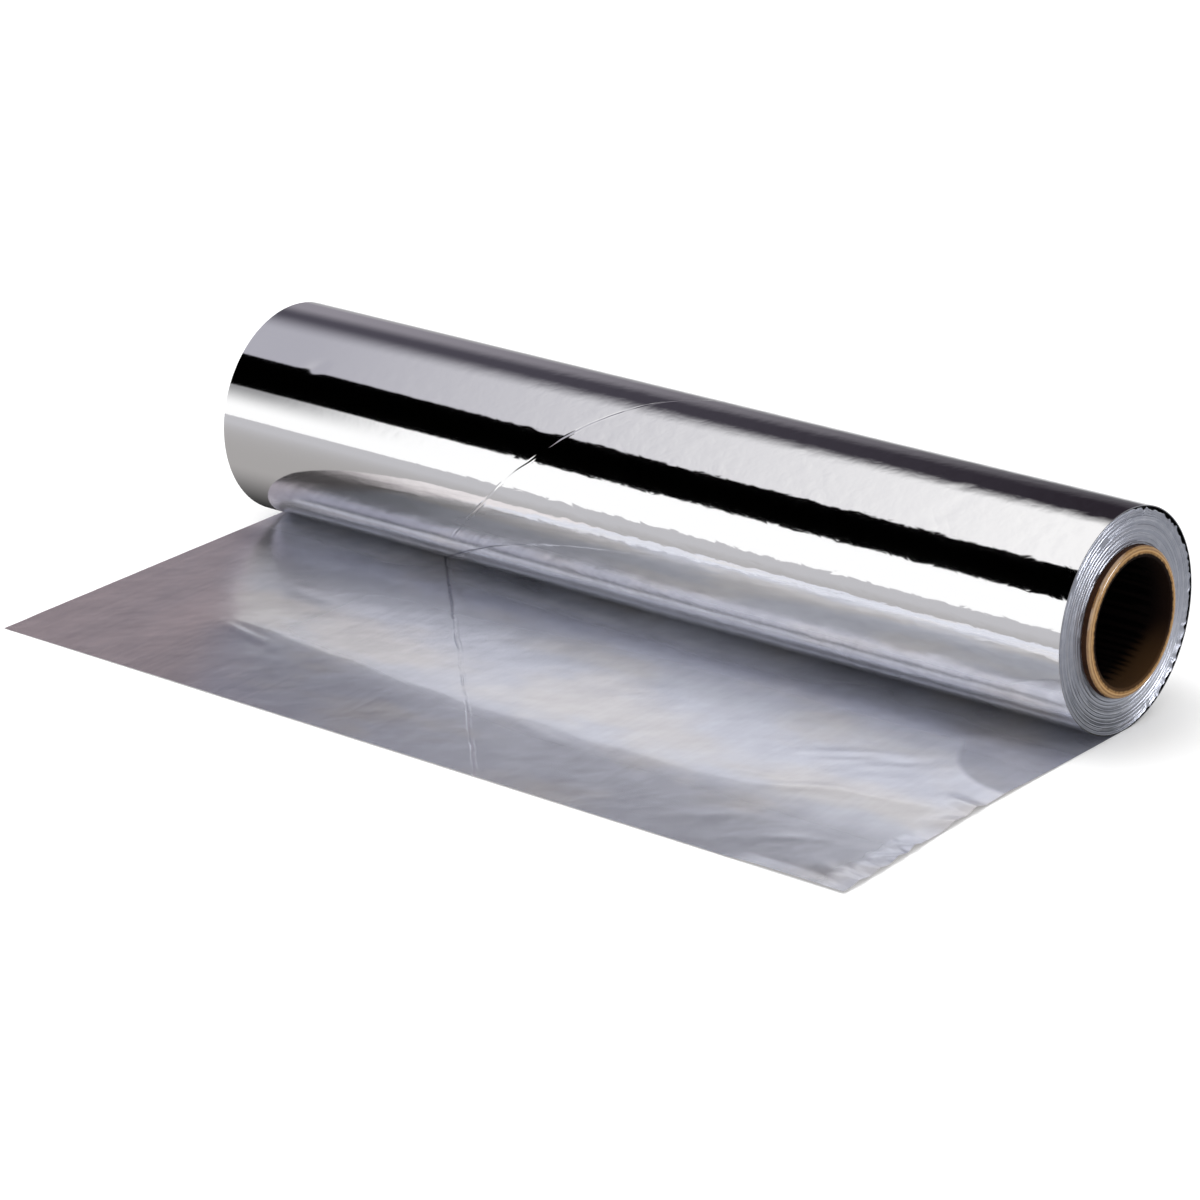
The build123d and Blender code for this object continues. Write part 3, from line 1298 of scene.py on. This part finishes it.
@dataclass
class Studio:
    """The floor, the cards that the foil mirrors, the lamp and the camera."""

    sizes: FoilSizes
    view: Viewpoint = field(default_factory=Viewpoint)
    floor_side: float = 60.0
    floor_colour: float = 0.94
    lamp_side: float = 1.1
    lamp_watts: float = 10.0
    lamp_place: tuple[float, float, float] = (-0.35, -0.3, 1.45)

    def make_floor(self) -> None:
        """Adds the plain white floor."""
        level = self.sizes.table - 0.1 * MM
        bpy.ops.mesh.primitive_plane_add(size=self.floor_side, location=(0.0, 0.0, level))
        floor = settle("floor")
        dress = Dressing("floor")
        glow = dress.blend(dress.seen("Is Camera Ray"), (0.0, 0.0, 0.0), (0.05, 0.05, 0.05))
        white = (self.floor_colour,) * 3
        floor.data.materials.append(
            dress.finish(
                Base_Color=(*white, 1.0),
                Roughness=0.9,
                Specular_IOR_Level=0.0,
                Emission_Color=glow,
                Emission_Strength=1.0,
            )
        )

    def make_floor_glow(self) -> None:
        """Adds the floor as reflections see it: grey in front, white behind, with a painted shadow
        beside the roll.
        """
        height = self.sizes.table - 0.05 * MM
        bpy.ops.mesh.primitive_plane_add(size=9.0, location=(0.0, 0.0, height))
        panel = settle("floor_glow")
        dress = Dressing("floor_glow")
        x, y, _ = dress.place()
        # A painted shadow darkens the glow close to the roll.
        shadowed_near_floor = dress.blend(y.rise(-0.010, -0.045), (0.03, 0.03, 0.03), (0.42, 0.405, 0.40))
        front = dress.blend(y.rise(-0.045, -0.25), shadowed_near_floor, (0.565, 0.560, 0.585))
        behind = dress.blend(y.rise(0.75, 0.12), (0.30, 0.30, 0.31), (0.84, 0.84, 0.85))
        level = dress.blend(y.rise(-0.012, 0.06), front, behind)
        colour = dress.blend(x.rise(0.152, 0.20), level, (0.26, 0.26, 0.28))
        only_in_reflections(panel, dress.glow(colour))

    def make_side(self) -> None:
        """Adds a dark wall and a bright panel to the right, which light the grooved end of the roll."""
        bpy.ops.mesh.primitive_plane_add(
            size=1.0, location=(1.05, 1.05, 0.6), rotation=(0.0, -math.pi / 2, 0.0)
        )
        bpy.context.active_object.scale = (1.4, 2.5, 1.0)
        wall = settle("side_wall")
        way = Vector((0.887, 0.449, 0.125)).normalized()
        middle = Vector((self.sizes.half_width, 0.0, 0.0)) + way * 0.8
        turned = way.to_track_quat("Z", "Y").to_euler()
        bpy.ops.mesh.primitive_plane_add(size=0.24, location=middle, rotation=turned)
        lamp = settle("side_panel")
        glows = (
            (wall, 0.1, 0.9, (0.20, 0.20, 0.23), (0.30, 0.30, 0.33)),
            (lamp, 0.0, 0.6, (6.6, 6.6, 6.9), (7.2, 7.2, 7.5)),
        )
        for panel, low, high, below, above in glows:
            dress = Dressing(panel.name)
            height = dress.place()[2].rise(low, high)
            only_in_reflections(panel, dress.glow(dress.blend(height, below, above)))

    def make_light(self) -> None:
        """Sets a plain white world and one soft lamp overhead."""
        world = bpy.data.worlds.new("studio")
        bpy.context.scene.world = world
        world.use_nodes = True
        background = next(node for node in world.node_tree.nodes if node.type == "BACKGROUND")
        background.inputs["Color"].default_value = (1.0, 1.0, 1.0, 1.0)
        background.inputs["Strength"].default_value = 1.0
        lamp = bpy.data.lights.new("overhead", "AREA")
        lamp.shape = "SQUARE"
        lamp.size = self.lamp_side
        lamp.energy = self.lamp_watts
        holder = bpy.data.objects.new("overhead", lamp)
        bpy.context.scene.collection.objects.link(holder)
        holder.location = self.lamp_place
        holder.rotation_euler = (-holder.location).to_track_quat("-Z", "Y").to_euler()
        holder.visible_glossy = False

    def build(self) -> None:
        """Makes the whole studio."""
        self.view.make_camera()
        self.make_floor()
        self.make_floor_glow()
        self.make_light()
        self.make_side()
        Canopy(self.sizes, self.view).build()
        bpy.context.scene.view_settings.view_transform = "Standard"


def main() -> None:
    """Builds the studio and each piece."""
    logging.basicConfig(level=logging.INFO, format="%(name)s: %(message)s")
    sizes = FoilSizes.read()
    Studio(sizes).build()
    roll_crease = Crease(offset=-49.6 * MM, slope=0.955, width=0.45 * MM, depth_mm=0.04)
    loose_crease = Crease(offset=-92.7 * MM, slope=-0.945, width=0.55 * MM, depth_mm=0.16)
    bore = next(mount for mount in frame["record"]["mounts"] if mount["name"] == "core_bore")
    core_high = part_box("core_tube")[1]
    assemblies = (
        WoundTurns(sizes, roll_crease),
        LooseEnd(sizes, loose_crease),
        CoreBoard(core_high.x, core_high.z, bore["dims"]["r_mm"] * MM),
    )
    for assembly in assemblies:
        piece = assembly.build()
        triangles = sum(len(face.vertices) - 2 for face in piece.data.polygons)
        log.info("%s: %d triangles", piece.name, triangles)


if __name__ == "__main__":
    main()
